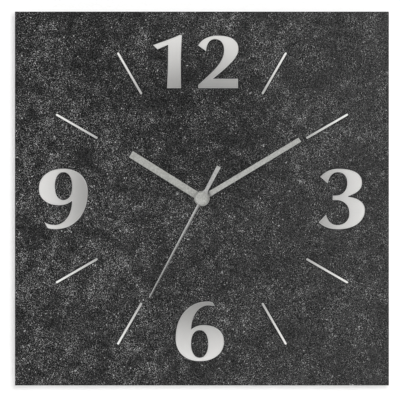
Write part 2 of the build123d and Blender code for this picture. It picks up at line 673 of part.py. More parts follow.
# ---- gear train -----------------------------------------------------------------------------
def rotor_pinion():
    """The rotor's plastic shaft and pinion."""
    phase = meshed_phase(50, 10, INTER_AT, ROTOR_AT)
    body = gear(10, ROTOR_MODULE, SHIFT[10], ROTOR_PINION_Z, ROTOR_AT, phase)
    body += rod(MAGNET_BORE_R, ROTOR_PINION_Z[1], MOTOR_SHOULDER_FRONT, ROTOR_AT)
    return body + rod(PIVOT_R, PIVOT_REAR, MOTOR_PIVOT_FRONT, ROTOR_AT)


def rotor_magnet():
    return tube(MAGNET_R, MAGNET_BORE_R, *MAGNET_Z, at=ROTOR_AT)


def intermediate_wheel():
    phase = meshed_phase(60, 10, (0, 0), INTER_AT)
    body = gear(50, ROTOR_MODULE, -SHIFT[10], INTER_WHEEL_Z, INTER_AT)
    body = lightened(body, 5, 4.0, 1.1, INTER_WHEEL_Z, INTER_AT)
    body += gear(10, INTER_MODULE, SHIFT[10], INTER_PINION_Z, INTER_AT, phase)
    body += rod(0.9, INTER_WHEEL_Z[1], INTER_PINION_Z[0], INTER_AT)
    body += rod(STEM_R, SHOULDER_REAR, MOTOR_SHOULDER_FRONT, INTER_AT)
    return body + rod(PIVOT_R, PIVOT_REAR, MOTOR_PIVOT_FRONT, INTER_AT)


def second_wheel():
    """Wheel, hub and pinion pressed on the stem of the second hand."""
    rear = SECOND_WHEEL_Z[0] - 0.5
    body = gear(60, INTER_MODULE, -SHIFT[10], SECOND_WHEEL_Z)
    body = lightened(body, 5, 5.6, 1.6, SECOND_WHEEL_Z)
    body += gear(8, THIRD_MODULE, SHIFT[8], SECOND_PINION_Z)
    body += rod(1.3, rear, SECOND_PINION_Z[0])
    return body - rod(STEM_R, rear, SECOND_PINION_Z[1])


def second_stem():
    return rod(STEM_R, PIVOT_REAR - 0.2, CAP_Z + 0.7)


def third_wheel():
    phase = meshed_phase(8, 60, (0, 0), THIRD_AT)
    body = gear(60, THIRD_MODULE, -SHIFT[8], THIRD_WHEEL_Z, THIRD_AT, phase)
    body = lightened(body, 5, WEB_HOLES_AT, WEB_HOLE_R, THIRD_WHEEL_Z, THIRD_AT)
    body += gear(8, CENTRE_MODULE, SHIFT[8], THIRD_PINION_Z, THIRD_AT)
    body += rod(1.0, THIRD_WHEEL_Z[1], THIRD_PINION_Z[0], THIRD_AT)
    body += rod(STEM_R, SHOULDER_REAR, THIRD_WHEEL_Z[0], THIRD_AT)
    return body + rod(PIVOT_R, PIVOT_REAR, THIRD_PIVOT_FRONT, THIRD_AT)


def centre_wheel():
    phase = meshed_phase(8, 64, THIRD_AT, (0, 0))
    body = gear(64, CENTRE_MODULE, -SHIFT[8], CENTRE_WHEEL_Z, phase=phase)
    body = lightened(body, 5, WEB_HOLES_AT, WEB_HOLE_R, CENTRE_WHEEL_Z)
    return body - rod(ARBOR_NECK_R, *CENTRE_WHEEL_Z)


def clutch_spring():
    """A dished washer that presses the centre wheel against its seat, so that the hands can slip."""
    low = CENTRE_WHEEL_Z[1]
    high = ARBOR_PINION_Z[0]
    profile = make_face(Polyline((ARBOR_NECK_R, high - 0.2), (ARBOR_NECK_R, high),
                                 (SPRING_R, low + 0.2), (SPRING_R, low), close=True))
    return revolve(Plane.XZ * profile, Axis.Z)


def minute_arbor():
    """Hollow arbor: seat and neck for the centre wheel, a pinion, then the tube to the hand."""
    rear = CENTRE_WHEEL_Z[0] - 0.4
    body = gear(10, MOTION_MODULE, SHIFT[10], ARBOR_PINION_Z)
    body += rod(ARBOR_R, ARBOR_PINION_Z[1], ARBOR_TOP)
    body += rod(ARBOR_NECK_R, rear, ARBOR_PINION_Z[0]) + rod(ARBOR_SEAT_R, rear, CENTRE_WHEEL_Z[0])
    return body - rod(ARBOR_BORE_R, rear, ARBOR_TOP)


def setting_wheel():
    """Minute wheel and its pinion, on the shaft that carries the setting knob."""
    phase = meshed_phase(10, 30, (0, 0), SETTING_AT)
    body = gear(30, MOTION_MODULE, -SHIFT[10], SETTING_WHEEL_Z, SETTING_AT, phase)
    body = lightened(body, 4, 5.2, 1.7, SETTING_WHEEL_Z, SETTING_AT)
    body += gear(8, MOTION_MODULE, SHIFT[8], SETTING_PINION_Z, SETTING_AT)
    body += rod(KNOB_SHAFT_R, KNOB_Z[1] - 0.1, SETTING_WHEEL_Z[0], SETTING_AT)
    return body + rod(SETTING_PIVOT_R, SETTING_PINION_Z[1], SETTING_PIVOT_FRONT, SETTING_AT)


def setting_knob():
    """A knurled disc with a grip bar, pressed on the shaft behind the cover."""
    rear, front = KNOB_Z
    floor = rear + 0.5        # of the finger groove round the grip bar
    knob = rod(KNOB_R, rear, front, SETTING_AT)
    for flute in range(KNOB_FLUTES):
        x, y = polar(KNOB_R + 0.1, 360 * flute / KNOB_FLUTES)
        knob -= rod(0.28, rear, front, (SETTING_AT[0] + x, SETTING_AT[1] + y))
    knob -= tube(3.4, 1.9, rear, floor, SETTING_AT)
    knob += Pos(*SETTING_AT, 0) * block((-3.6, 3.6), (-0.6, 0.6), (rear, floor))
    knob += rod(KNOB_BOSS_R, front, front + 1.0, SETTING_AT)
    return knob - rod(KNOB_SHAFT_R, front - 0.1, front + 1.0, SETTING_AT)


def hour_wheel():
    phase = meshed_phase(8, 32, SETTING_AT, (0, 0))
    rear, front = HOUR_WHEEL_Z
    body = gear(32, MOTION_MODULE, -SHIFT[8], HOUR_WHEEL_Z, phase=phase)
    body = lightened(body, 5, WEB_HOLES_AT, WEB_HOLE_R, HOUR_WHEEL_Z)
    body += rod(HOUR_TUBE_R, rear, HOUR_TUBE_TOP) + rod(HOUR_COLLET_R, front, front + 0.2)
    return body - rod(HOUR_TUBE_BORE_R, rear, HOUR_TUBE_TOP)


# ---- every sub-part by name -----------------------------------------------------------------
def clock():
    parts = {
        "dial_back_skin": panel_layer(PANEL_BACK, PANEL_BACK + SKIN),
        "dial_core": panel_layer(PANEL_BACK + SKIN, PANEL_FRONT - SKIN),
        "dial_front_skin": panel_layer(PANEL_FRONT - SKIN, PANEL_FRONT),
    }
    parts.update(numerals())
    for hour in (1, 2, 4, 5, 7, 8, 10, 11):
        parts[f"hour_marker_{hour:02d}"] = hour_marker(hour)
    parts.update({
        "hour_hand": hour_hand(),
        "hour_hand_collet": tube(HOUR_COLLET_R, HOUR_TUBE_R, HOUR_BLADE_Z - 1.0, HOUR_BLADE_Z + 1.4),
        "minute_hand": minute_hand(),
        "minute_hand_collet": tube(MINUTE_COLLET_R, ARBOR_R, MINUTE_BLADE_Z - 0.6,
                                   MINUTE_BLADE_Z + 1.6),
        "second_hand": second_hand(),
        "second_hand_tube": second_hand_tube(),
        "second_hand_cap": second_hand_cap(),
        "dial_washer": tube(WASHER_R, BUSH_R + 0.1, PANEL_FRONT, NUT_BASE),
        "hex_nut": hex_nut(),
        "threaded_bushing": threaded_bushing(),
        "rubber_washer": tube(CUSHION_R, BUSH_R + 0.1, PANEL_BACK - CUSHION, PANEL_BACK),
        "hanger": hanger(),
        "hanger_plate": hanger_plate(),
        "wall_spacer_left": wall_spacer(-1),
        "wall_spacer_right": wall_spacer(1),
        "felt_pad_left": felt_pad(-1),
        "felt_pad_right": felt_pad(1),
        "movement_front_case": front_case(),
        "movement_rear_cover": rear_cover(),
        "train_bridge": train_bridge(),
        "middle_plate": middle_plate(),
        "stator": stator(),
        "coil_core": coil_core(),
        "coil_bobbin": coil_bobbin(),
        "coil_winding": coil_winding(),
        "circuit_board": circuit_board(),
        "driver_chip": driver_chip(),
        "quartz_crystal": quartz_crystal(),
        "battery": battery(),
        "positive_contact": positive_contact(),
        "negative_contact": negative_contact(),
        "battery_spring": battery_spring(),
        "rotor_pinion": rotor_pinion(),
        "rotor_magnet": rotor_magnet(),
        "intermediate_wheel": intermediate_wheel(),
        "second_wheel": second_wheel(),
        "second_stem": second_stem(),
        "third_wheel": third_wheel(),
        "centre_wheel": centre_wheel(),
        "clutch_spring": clutch_spring(),
        "minute_arbor": minute_arbor(),
        "setting_wheel": setting_wheel(),
        "setting_knob": setting_knob(),
        "hour_wheel": hour_wheel(),
    })
    return parts


os.makedirs("parts", exist_ok=True)
for node, shape in clock().items():
    export_step(DIAL.location * shape, f"parts/{node}.step")
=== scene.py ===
import math

import bpy
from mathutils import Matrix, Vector


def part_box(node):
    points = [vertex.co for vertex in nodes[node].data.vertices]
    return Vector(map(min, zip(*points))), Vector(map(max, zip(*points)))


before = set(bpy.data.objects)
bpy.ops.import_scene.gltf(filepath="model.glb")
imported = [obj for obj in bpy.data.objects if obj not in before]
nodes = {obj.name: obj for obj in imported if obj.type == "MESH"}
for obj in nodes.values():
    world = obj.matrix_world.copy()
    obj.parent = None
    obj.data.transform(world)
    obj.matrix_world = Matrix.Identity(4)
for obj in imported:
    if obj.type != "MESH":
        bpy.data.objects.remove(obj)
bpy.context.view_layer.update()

# ---- where things are, from the CAD ---------------------------------------------------------
MM = 0.001


def middle(node):
    low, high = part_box(node)
    return (low + high) / 2


AXIS = middle("second_stem")                      # the hands' axis, along Y
PANEL_LOW, PANEL_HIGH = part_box("dial_front_skin")
PANEL_FRONT = PANEL_LOW.y
PANEL_SIDE = PANEL_HIGH.x - PANEL_LOW.x
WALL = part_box("hanger")[1].y


# ---- node materials -------------------------------------------------------------------------
FRONT = (0, -1, 0)                                # the way the dial faces
BEVEL_SAMPLES = 6
CREVICE_SAMPLES = 12
NOISE_STEP = (0.37, 0.53, 0.71)                   # sets each noise of a material apart


def linear(level):
    """A screen level from 0 to 255 as a linear value."""
    c = level / 255
    return c / 12.92 if c <= 0.04045 else ((c + 0.055) / 1.055) ** 2.4


def grey(value, warm=0.0):
    """A linear grey, its blue lowered a little when warm."""
    return (value * (1 + warm), value, value * (1 - 2 * warm), 1)


class Finish:
    """A node material. The methods from math() on add nodes and give an output socket.

    Lengths are in metres and places are object coordinates, so a texture rides with its piece.
    """

    def __init__(self, name, round_edge=None, **sockets):
        """round_edge is the radius of worn edges. Other names are the shader's own sockets."""
        self.material = bpy.data.materials.new(name)
        self.material.use_nodes = True
        self.tree = self.material.node_tree
        self.bsdf = self.tree.nodes["Principled BSDF"]
        self.place = self.add("ShaderNodeTexCoord").outputs["Object"]
        self.count = 0                            # noises made so far; each gets its own offset
        self.edge = None
        if round_edge:
            worn = self.add("ShaderNodeBevel", samples=BEVEL_SAMPLES)
            worn.inputs["Radius"].default_value = round_edge
            self.edge = worn.outputs["Normal"]
        for socket, value in sockets.items():
            self.set(socket.replace("_", " "), value)

    def add(self, kind, **settings):
        node = self.tree.nodes.new(kind)
        for key, value in settings.items():
            setattr(node, key, value)
        return node

    def join(self, value, socket):
        """Link a socket, or set a constant on the shader socket itself."""
        if isinstance(value, bpy.types.NodeSocket):
            self.tree.links.new(value, socket)
        else:
            socket.default_value = value

    def set(self, socket, value):
        self.join(value, self.bsdf.inputs[socket])

    def math(self, operation, *values):
        node = self.add("ShaderNodeMath", operation=operation)
        for value, socket in zip(values, node.inputs):
            self.join(value, socket)
        return node.outputs[0]

    def total(self, *terms):
        """Sum of (weight, value) pairs."""
        result = 0.0
        for weight, value in terms:
            result = self.math("MULTIPLY_ADD", value, weight, result)
        return result

    def remap(self, value, low, high, to_low=0.0, to_high=1.0):
        """value from low..high to to_low..to_high, held at the ends."""
        node = self.add("ShaderNodeMapRange", clamp=True)
        for v, key in ((value, "Value"), (low, "From Min"), (high, "From Max"),
                       (to_low, "To Min"), (to_high, "To Max")):
            self.join(v, node.inputs[key])
        return node.outputs[0]

    def mapped(self, turn=(0, 0, 0), stretch=(1, 1, 1), shift=(0, 0, 0)):
        """Object coordinates moved by shift, turned about the axes in degrees, then stretched."""
        moved = self.add("ShaderNodeVectorMath", operation="ADD")
        self.join(self.place, moved.inputs[0])
        moved.inputs[1].default_value = shift
        turned = self.add("ShaderNodeMapping", vector_type="POINT")
        self.join(moved.outputs[0], turned.inputs["Vector"])
        turned.inputs["Rotation"].default_value = [math.radians(a) for a in turn]
        scaled = self.add("ShaderNodeVectorMath", operation="MULTIPLY")
        self.join(turned.outputs[0], scaled.inputs[0])
        scaled.inputs[1].default_value = stretch
        return scaled.outputs[0]

    def split(self, vector):
        """The x, y and z of a vector."""
        node = self.add("ShaderNodeSeparateXYZ")
        self.join(vector, node.inputs[0])
        return node.outputs

    def noise(self, size, detail=2.0, rough=0.5, place=None, bend=0.0):
        """Noise whose largest features are about size metres across, near 0.5 on average."""
        node = self.add("ShaderNodeTexNoise", noise_dimensions="3D")
        self.count += 1
        offset = self.add("ShaderNodeVectorMath", operation="ADD")
        self.join(place or self.place, offset.inputs[0])
        offset.inputs[1].default_value = [step * self.count for step in NOISE_STEP]
        self.join(offset.outputs[0], node.inputs["Vector"])
        for key, value in (("Scale", 1 / size), ("Detail", detail), ("Roughness", rough),
                           ("Distortion", bend)):
            node.inputs[key].default_value = value
        return node.outputs["Fac"]

    def cells(self, size):
        """Distance from the nearest of points strewn through space, in units of size."""
        node = self.add("ShaderNodeTexVoronoi", voronoi_dimensions="3D")
        self.join(self.place, node.inputs["Vector"])
        node.inputs["Scale"].default_value = 1 / size
        return node.outputs["Distance"]

    def spots(self, size):
        """Distance from the nearest of points strewn over the XZ plane, in units of size."""
        x, _, z = self.split(self.place)
        flat = self.add("ShaderNodeCombineXYZ")
        self.join(x, flat.inputs[0])
        self.join(z, flat.inputs[1])
        node = self.add("ShaderNodeTexVoronoi", voronoi_dimensions="2D")
        self.join(flat.outputs[0], node.inputs["Vector"])
        node.inputs["Scale"].default_value = 1 / size
        return node.outputs["Distance"]

    def ramp(self, value, *stops):
        """Colour from (position, colour) stops."""
        node = self.add("ShaderNodeValToRGB")
        self.join(value, node.inputs["Fac"])
        line = node.color_ramp.elements
        line[0].position, line[0].color = stops[0]
        line[1].position, line[1].color = stops[-1]
        for position, colour in stops[1:-1]:
            line.new(position).color = colour
        return node.outputs["Color"]

    def mix(self, factor, low, high, blend="MIX"):
        node = self.add("ShaderNodeMix", data_type="RGBA", blend_type=blend)
        self.join(factor, node.inputs["Factor"])
        colour_sockets = [socket for socket in node.inputs if socket.type == "RGBA"]
        self.join(low, colour_sockets[0])
        self.join(high, colour_sockets[1])
        return next(socket for socket in node.outputs if socket.type == "RGBA")

    def bump(self, height, depth, under=None):
        """Relief of the given depth in metres where height goes from 0 to 1."""
        node = self.add("ShaderNodeBump")
        node.inputs["Strength"].default_value = 1.0
        node.inputs["Distance"].default_value = depth
        self.join(height, node.inputs["Height"])
        below = self.edge if under is None else under
        if below is not None:
            self.join(below, node.inputs["Normal"])
        return node.outputs["Normal"]

    def facing(self, direction):
        """How far the face itself, before any bump, looks along direction."""
        node = self.add("ShaderNodeVectorMath", operation="DOT_PRODUCT")
        self.join(self.add("ShaderNodeTexCoord").outputs["Normal"], node.inputs[0])
        node.inputs[1].default_value = direction
        return node.outputs["Value"]

    def radius(self, centre):
        """Distance from the line through centre along Y."""
        node = self.add("ShaderNodeVectorMath", operation="LENGTH")
        flat = self.mapped(shift=[-c for c in centre], stretch=(1, 0, 1))
        self.join(flat, node.inputs[0])
        return node.outputs["Value"]

    def crevice(self, reach):
        """0 in a corner that other surfaces crowd, 1 in the open."""
        node = self.add("ShaderNodeAmbientOcclusion", samples=CREVICE_SAMPLES)
        node.inputs["Distance"].default_value = reach
        return node.outputs["AO"]


def printed_stone():
    """Matt print of dark slate: clouds, grain, pale flecks, curls and dots, on aluminium."""
    f = Finish("printed_stone", Specular_IOR_Level=0.05)
    # stronger grain and far more speckle on the left
    x = f.split(f.place)[0]
    side = f.remap(x, -PANEL_SIDE / 2, PANEL_SIDE / 2, 1.0, 0.54)
    speckled = f.remap(x, -PANEL_SIDE / 2, PANEL_SIDE / 2, 1.0, 0.25)
    # a dark cloud above the hub, and a wide faint one in the upper left
    above_hub = AXIS + Vector((0, 0, 62 * MM))
    upper_left = AXIS + Vector((-115 * MM, 0, 95 * MM))
    upper = f.remap(f.radius(above_hub), 68 * MM, 25 * MM)
    corner = f.remap(f.radius(upper_left), 120 * MM, 50 * MM)
    # where the print is busy, at two scales
    clouds = f.noise(55 * MM, 2, 0.6)
    patches = f.noise(14 * MM, 3, 0.6)
    density = f.total((0.45, clouds), (0.55, patches))
    busy = f.remap(density, 0.36, 0.64)
    swell = f.total((1.0, 0.70), (0.50, busy))
    speckled = f.math("MULTIPLY", speckled, swell)
    # the grain that covers everything, mostly half a millimetre across
    grain = f.total((0.70, f.noise(0.50 * MM, 0, 0.5)), (0.18, f.noise(0.9 * MM, 0, 0.5)),
                    (0.04, f.noise(2.4 * MM, 1, 0.5)), (0.08, f.noise(8 * MM, 1, 0.5)))
    # pale flecks where a second grain peaks, thicker in the clouds
    seeds = f.noise(0.9 * MM, 1, 0.5)
    limit = f.remap(busy, 0, 1, 0.70, 0.60)
    flecks = f.math("MULTIPLY", f.remap(f.math("SUBTRACT", seeds, limit), 0.0, 0.08), speckled)
    # short curls along the zero line of a coarser noise
    line = f.math("ABSOLUTE", f.math("SUBTRACT", f.noise(4.2 * MM, 0, 0.5), 0.5))
    pieces = f.remap(f.noise(5 * MM, 1, 0.5), 0.58, 0.64)
    curls = f.math("MULTIPLY", f.remap(line, 0.024, 0.010), pieces)
    # a few round pale dots
    picked = f.math("GREATER_THAN", f.noise(26 * MM, 0, 0.5), 0.56)
    dots = f.math("MULTIPLY", f.remap(f.spots(24 * MM), 0.075, 0.055), picked)
    # single bright crystals, in swarms
    swarm = f.remap(f.noise(7 * MM, 2, 0.6), 0.46, 0.62)
    crystals = f.math("MULTIPLY", f.remap(f.spots(1.7 * MM), 0.24, 0.12), swarm)
    crystals = f.math("MULTIPLY", crystals, speckled)
    # and a few large ones
    stars = f.math("MULTIPLY", f.remap(f.spots(6.2 * MM), 0.10, 0.06), swarm)
    stars = f.math("MULTIPLY", stars, speckled)
    # the grain swells and fades in the clouds and in smaller knots
    knots = f.remap(f.noise(10 * MM, 2, 0.6), 0.38, 0.62)
    swell = f.math("MULTIPLY", swell, f.total((1.0, 0.76), (0.36, knots)))
    contrast = f.math("MULTIPLY", side, swell)
    swing = f.math("MULTIPLY", f.math("SUBTRACT", grain, 0.5), contrast)
    base = f.total((1.0, 0.59), (-0.42, side), (4.4, swing), (0.03, busy), (-0.02, knots),
                   (-0.09, upper), (-0.05, corner))
    tone = f.total((1.0, base), (0.34, flecks), (0.30, curls), (0.16, dots), (0.46, crystals),
                   (1.05, stars))
    # painted shade: the print is darker close to the numerals and bars, where their contact shadow
    # falls
    near = f.remap(f.crevice(1.6 * MM), 0.55, 0.97, 0.24, 0.0)
    tone = f.math("SUBTRACT", tone, near)
    ink = ((0.0, 18), (0.18, 36), (0.36, 56), (0.54, 78), (0.75, 118), (1.0, 195))
    light = 0.88                                  # print per screen level under this lighting
    colour = f.ramp(tone, *((at, grey(linear(level) * light)) for at, level in ink))
    # the cut edge shows the bare skin
    front = f.math("GREATER_THAN", f.facing(FRONT), 0.5)
    f.set("Base Color", f.mix(front, grey(0.55), colour))
    f.set("Metallic", f.math("SUBTRACT", 1.0, front))
    f.set("Roughness", f.total((1.0, 0.62), (0.2, grain), (-0.15, flecks)))
    f.set("Normal", f.bump(f.total((0.7, grain), (0.3, flecks)), 0.05 * MM))
    return f.material


# reflectance of the numerals and bars by distance from the hands' axis in mm
SILVER = ((86, 0.325), (98, 0.435), (114, 0.64), (124, 0.74), (136, 0.85))


def silver(name, gain_near, gain_far):
    """Applied numerals and bars: satin face, darker towards the dial's centre, bevels lighter in
    colour as a painted highlight.
    """
    f = Finish(name)
    near, far = SILVER[0][0], SILVER[-1][0]
    along = f.remap(f.radius(AXIS), near * MM, far * MM)
    stops = []
    for at, value in SILVER:
        part = (at - near) / (far - near)
        gain = gain_near + (gain_far - gain_near) * part
        stops.append((part, grey(value * gain, 0.01)))
    grain = f.noise(0.5 * MM, 3, 0.7, place=f.mapped(stretch=(0.15, 1, 1)))
    worn = f.noise(9 * MM, 2, 0.5)
    shade = f.total((1.0, 0.91), (0.10, grain), (0.08, worn))
    face = f.mix(1.0, f.ramp(along, *stops), f.ramp(shade, (0, grey(0.0)), (1, grey(1.0))),
                 "MULTIPLY")
    # painted highlight: the bevels get a lighter colour and less metal than the face
    flat = f.remap(f.math("ABSOLUTE", f.facing(FRONT)), 0.85, 0.97)
    painted_highlight_rim = f.mix(0.30, face, grey(0.95))
    f.set("Base Color", f.mix(flat, painted_highlight_rim, face))
    f.set("Metallic", f.total((0.35, flat), (1.0, 0.15)))
    f.set("Roughness", f.total((0.30, grain), (0.12, flat), (1.0, 0.16)))
    f.set("Normal", f.bump(grain, 0.012 * MM))
    return f.material


def satin(name, angle, level, rough=0.30, tint=(0.979, 0.985, 0.932), mottled=0.40, shade=0.5,
          painted_slope_shade=0.78, painted_facet_light=0.0):
    """Satin aluminium, brushed along a hand that points angle degrees clockwise from twelve.

    shade is how far painted shade darkens crowded places, and the argument after it is the tone of
    slopes against flats: painted shade on the slopes.
    With the last argument, the two slopes of a ridge differ in tone: painted light on one, painted
    shade on the other.
    """
    f = Finish(name, round_edge=0.08 * MM, Metallic=0.7)
    along = f.mapped(shift=[-c for c in AXIS], turn=(0, -angle, 0), stretch=(1, 1, 0.06))
    brush = f.noise(0.35 * MM, 3, 0.65, place=along)
    mottle = f.noise(1.5 * MM, 3, 0.75)
    cloud = f.noise(14 * MM, 2, 0.5)
    # painted shade where hands, discs and cap crowd one another
    painted_crowd_shade = f.remap(f.crevice(3.5 * MM), 0.45, 0.97, 1.0 - shade, 1.0)
    tone = f.total((1.0, level), (0.14, brush), (mottled, mottle), (0.06, cloud))
    tone = f.math("MULTIPLY", tone, painted_crowd_shade)
    # painted shade: slopes darker than the flats
    tone = f.math("MULTIPLY", tone, f.remap(f.facing(FRONT), 0.95, 0.995, painted_slope_shade, 1.0))
    # painted light and shade: the two slopes of a ridge, one lighter and one darker
    if painted_facet_light:
        across = (math.cos(math.radians(angle)), 0, -math.sin(math.radians(angle)))
        tone = f.math("MULTIPLY", tone, f.total((1.0, 1.0), (painted_facet_light, f.facing(across))))
    f.set("Base Color", f.ramp(tone, (0, grey(0.0)), (1, (*tint, 1))))
    f.set("Roughness", f.total((1.0, rough), (0.25, brush)))
    f.set("Normal", f.bump(f.total((0.7, brush), (0.3, mottle)), 0.01 * MM))
    return f.material


def turned(name, colour, dark, rough, centre):
    """Turned metal: fine rings round centre, blotchy stains, and painted shade darkening the
    corners.
    """
    f = Finish(name, round_edge=0.12 * MM, Metallic=1.0)
    pitch = 0.25 * MM
    ring = f.math("FRACT", f.math("DIVIDE", f.radius(centre), pitch))
    stain = f.noise(1.8 * MM, 3, 0.6)
    # painted shade: darker in the corners
    corner = f.remap(f.crevice(1.0 * MM), 0.35, 0.95)
    tone = f.math("MULTIPLY", f.remap(stain, 0.3, 0.7, 0.55, 1.0), f.remap(corner, 0, 1, 0.45, 1))
    f.set("Base Color", f.mix(tone, dark, colour))
    f.set("Roughness", f.total((1.0, rough), (0.2, stain), (0.06, ring)))
    f.set("Normal", f.bump(ring, 0.008 * MM, f.bump(stain, 0.01 * MM)))
    return f.material


def sheet_metal(name, colour, dark, rough, lines=(0.05, 1, 1), scale=0.5 * MM, blotch=20 * MM):
    """Rolled sheet: lines along one direction, blotches, a few scratches."""
    f = Finish(name, round_edge=0.15 * MM, Metallic=1.0)
    roll = f.noise(scale, 3, 0.65, place=f.mapped(stretch=lines))
    cloud = f.noise(blotch, 3, 0.55)
    hair = f.noise(7 * MM, 1, 0.5, place=f.mapped(turn=(0, 28, 0), stretch=(1, 1, 0.05)))
    scratch = f.remap(f.math("ABSOLUTE", f.math("SUBTRACT", hair, 0.5)), 0.006, 0.002)
    held = f.math("MULTIPLY", scratch, f.remap(f.noise(30 * MM, 1, 0.5), 0.52, 0.6))
    tone = f.total((0.85, roll), (0.25, cloud), (-0.25, held))
    f.set("Base Color", f.mix(f.remap(tone, 0.35, 0.75), dark, colour))
    f.set("Roughness", f.total((1.0, rough), (0.10, cloud), (0.15, held), (0.14, roll)))
    f.set("Normal", f.bump(f.total((0.7, roll), (-0.8, held)), 0.02 * MM))
    return f.material


def moulded(name, colour, dark, rough=0.45, texture=0.35 * MM, depth=0.02 * MM, soft=0.0,
            gloss=0.5):
    """Moulded plastic: spark-eroded texture, slight flow marks, painted shade in the corners,
    specks of dust.

    soft is how far light goes through it, and gloss is the strength of its reflections.
    """
    f = Finish(name, round_edge=0.25 * MM, Subsurface_Weight=soft, Subsurface_Scale=0.6 * MM,
               Specular_IOR_Level=gloss)
    skin = f.noise(texture, 2, 0.6)
    flow = f.noise(7 * MM, 3, 0.65, place=f.mapped(stretch=(1, 1, 0.35)))
    # painted shade: darker in the corners
    corner = f.remap(f.crevice(1.5 * MM), 0.3, 0.95)
    tone = f.math("MULTIPLY", f.remap(f.total((0.5, flow), (0.5, skin)), 0.36, 0.64, 0.35, 1.0),
                  f.remap(corner, 0, 1, 0.45, 1.0))
    dust = f.remap(f.noise(1.7 * MM, 1, 0.5), 0.62, 0.74, 0.0, 0.25)
    f.set("Base Color", f.mix(dust, f.mix(tone, dark, colour), grey(0.45)))
    f.set("Roughness", f.total((1.0, rough), (0.22, skin), (0.14, flow)))
    f.set("Normal", f.bump(skin, depth, f.bump(flow, 0.03 * MM)))
    return f.material


def panel_core():
    """Black polyethylene, sawn: upright tool marks and a few torn specks."""
    f = Finish("panel_core")
    marks = f.noise(0.4 * MM, 3, 0.7, place=f.mapped(stretch=(1, 0.08, 1)))
    torn = f.remap(f.noise(0.9 * MM, 2, 0.6), 0.62, 0.72)
    f.set("Base Color", f.mix(f.total((0.6, marks), (0.5, torn)), grey(0.008), grey(0.05)))
    f.set("Roughness", f.total((1.0, 0.5), (0.25, marks)))
    f.set("Normal", f.bump(f.total((0.7, marks), (0.3, torn)), 0.06 * MM))
    return f.material


def felt():
    """Dark wool felt: matted fibre over soft lumps."""
    f = Finish("felt", Specular_IOR_Level=0.1, Sheen_Weight=0.5, Sheen_Roughness=0.6)
    wool = f.noise(0.5 * MM, 3, 0.75, bend=1.5)
    lump = f.noise(3 * MM, 2, 0.5)
    f.set("Base Color", f.mix(f.total((0.7, wool), (0.3, lump)), grey(0.02), grey(0.13)))
    f.set("Roughness", f.total((1.0, 0.8), (0.2, wool)))
    f.set("Normal", f.bump(wool, 0.25 * MM, f.bump(lump, 0.2 * MM)))
    return f.material


def copper_wire():
    """Fine enamelled wire laid side by side round an axis along X."""
    f = Finish("copper_wire", Metallic=1.0)
    x = f.split(f.place)[0]
    pitch = 0.12 * MM
    slip = f.noise(1.2 * MM, 2, 0.5)
    turn = f.math("FRACT", f.total((1 / pitch, x), (1.4, slip)))
    crown_relief_and_light = f.math("SINE", f.math("MULTIPLY", turn, math.pi))
    # painted light and shade: crowns of the turns lighter, grooves between them darker; the same
    # ridge gives the real bump
    f.set("Base Color", f.mix(f.total((0.7, crown_relief_and_light), (0.4, slip)), (0.16, 0.045, 0.015, 1),
                              (0.85, 0.36, 0.16, 1)))
    f.set("Roughness", f.total((1.0, 0.22), (0.2, slip)))
    f.set("Normal", f.bump(crown_relief_and_light, 0.05 * MM))
    return f.material


def circuit_board():
    """Paper laminate with a few broad tin-plated tracks."""
    f = Finish("board")
    x, _, z = f.split(f.place)
    fibre = f.noise(0.6 * MM, 3, 0.7)
    pitch, lean = 3.1 * MM, 0.35
    lane = f.math("FRACT", f.math("DIVIDE", f.math("ADD", z, f.math("MULTIPLY", x, lean)), pitch))
    track = f.math("MULTIPLY", f.remap(lane, 0.30, 0.34), f.remap(lane, 0.70, 0.66))
    track = f.math("MULTIPLY", track, f.math("GREATER_THAN", f.noise(12 * MM, 0, 0.5), 0.47))
    bare = f.mix(fibre, (0.20, 0.11, 0.04, 1), (0.42, 0.27, 0.11, 1))
    f.set("Base Color", f.mix(track, bare, (0.62, 0.63, 0.60, 1)))
    f.set("Metallic", track)
    f.set("Roughness", f.total((1.0, 0.42), (0.2, fibre)))
    f.set("Normal", f.bump(f.total((0.3, fibre), (0.7, track)), 0.04 * MM))
    return f.material


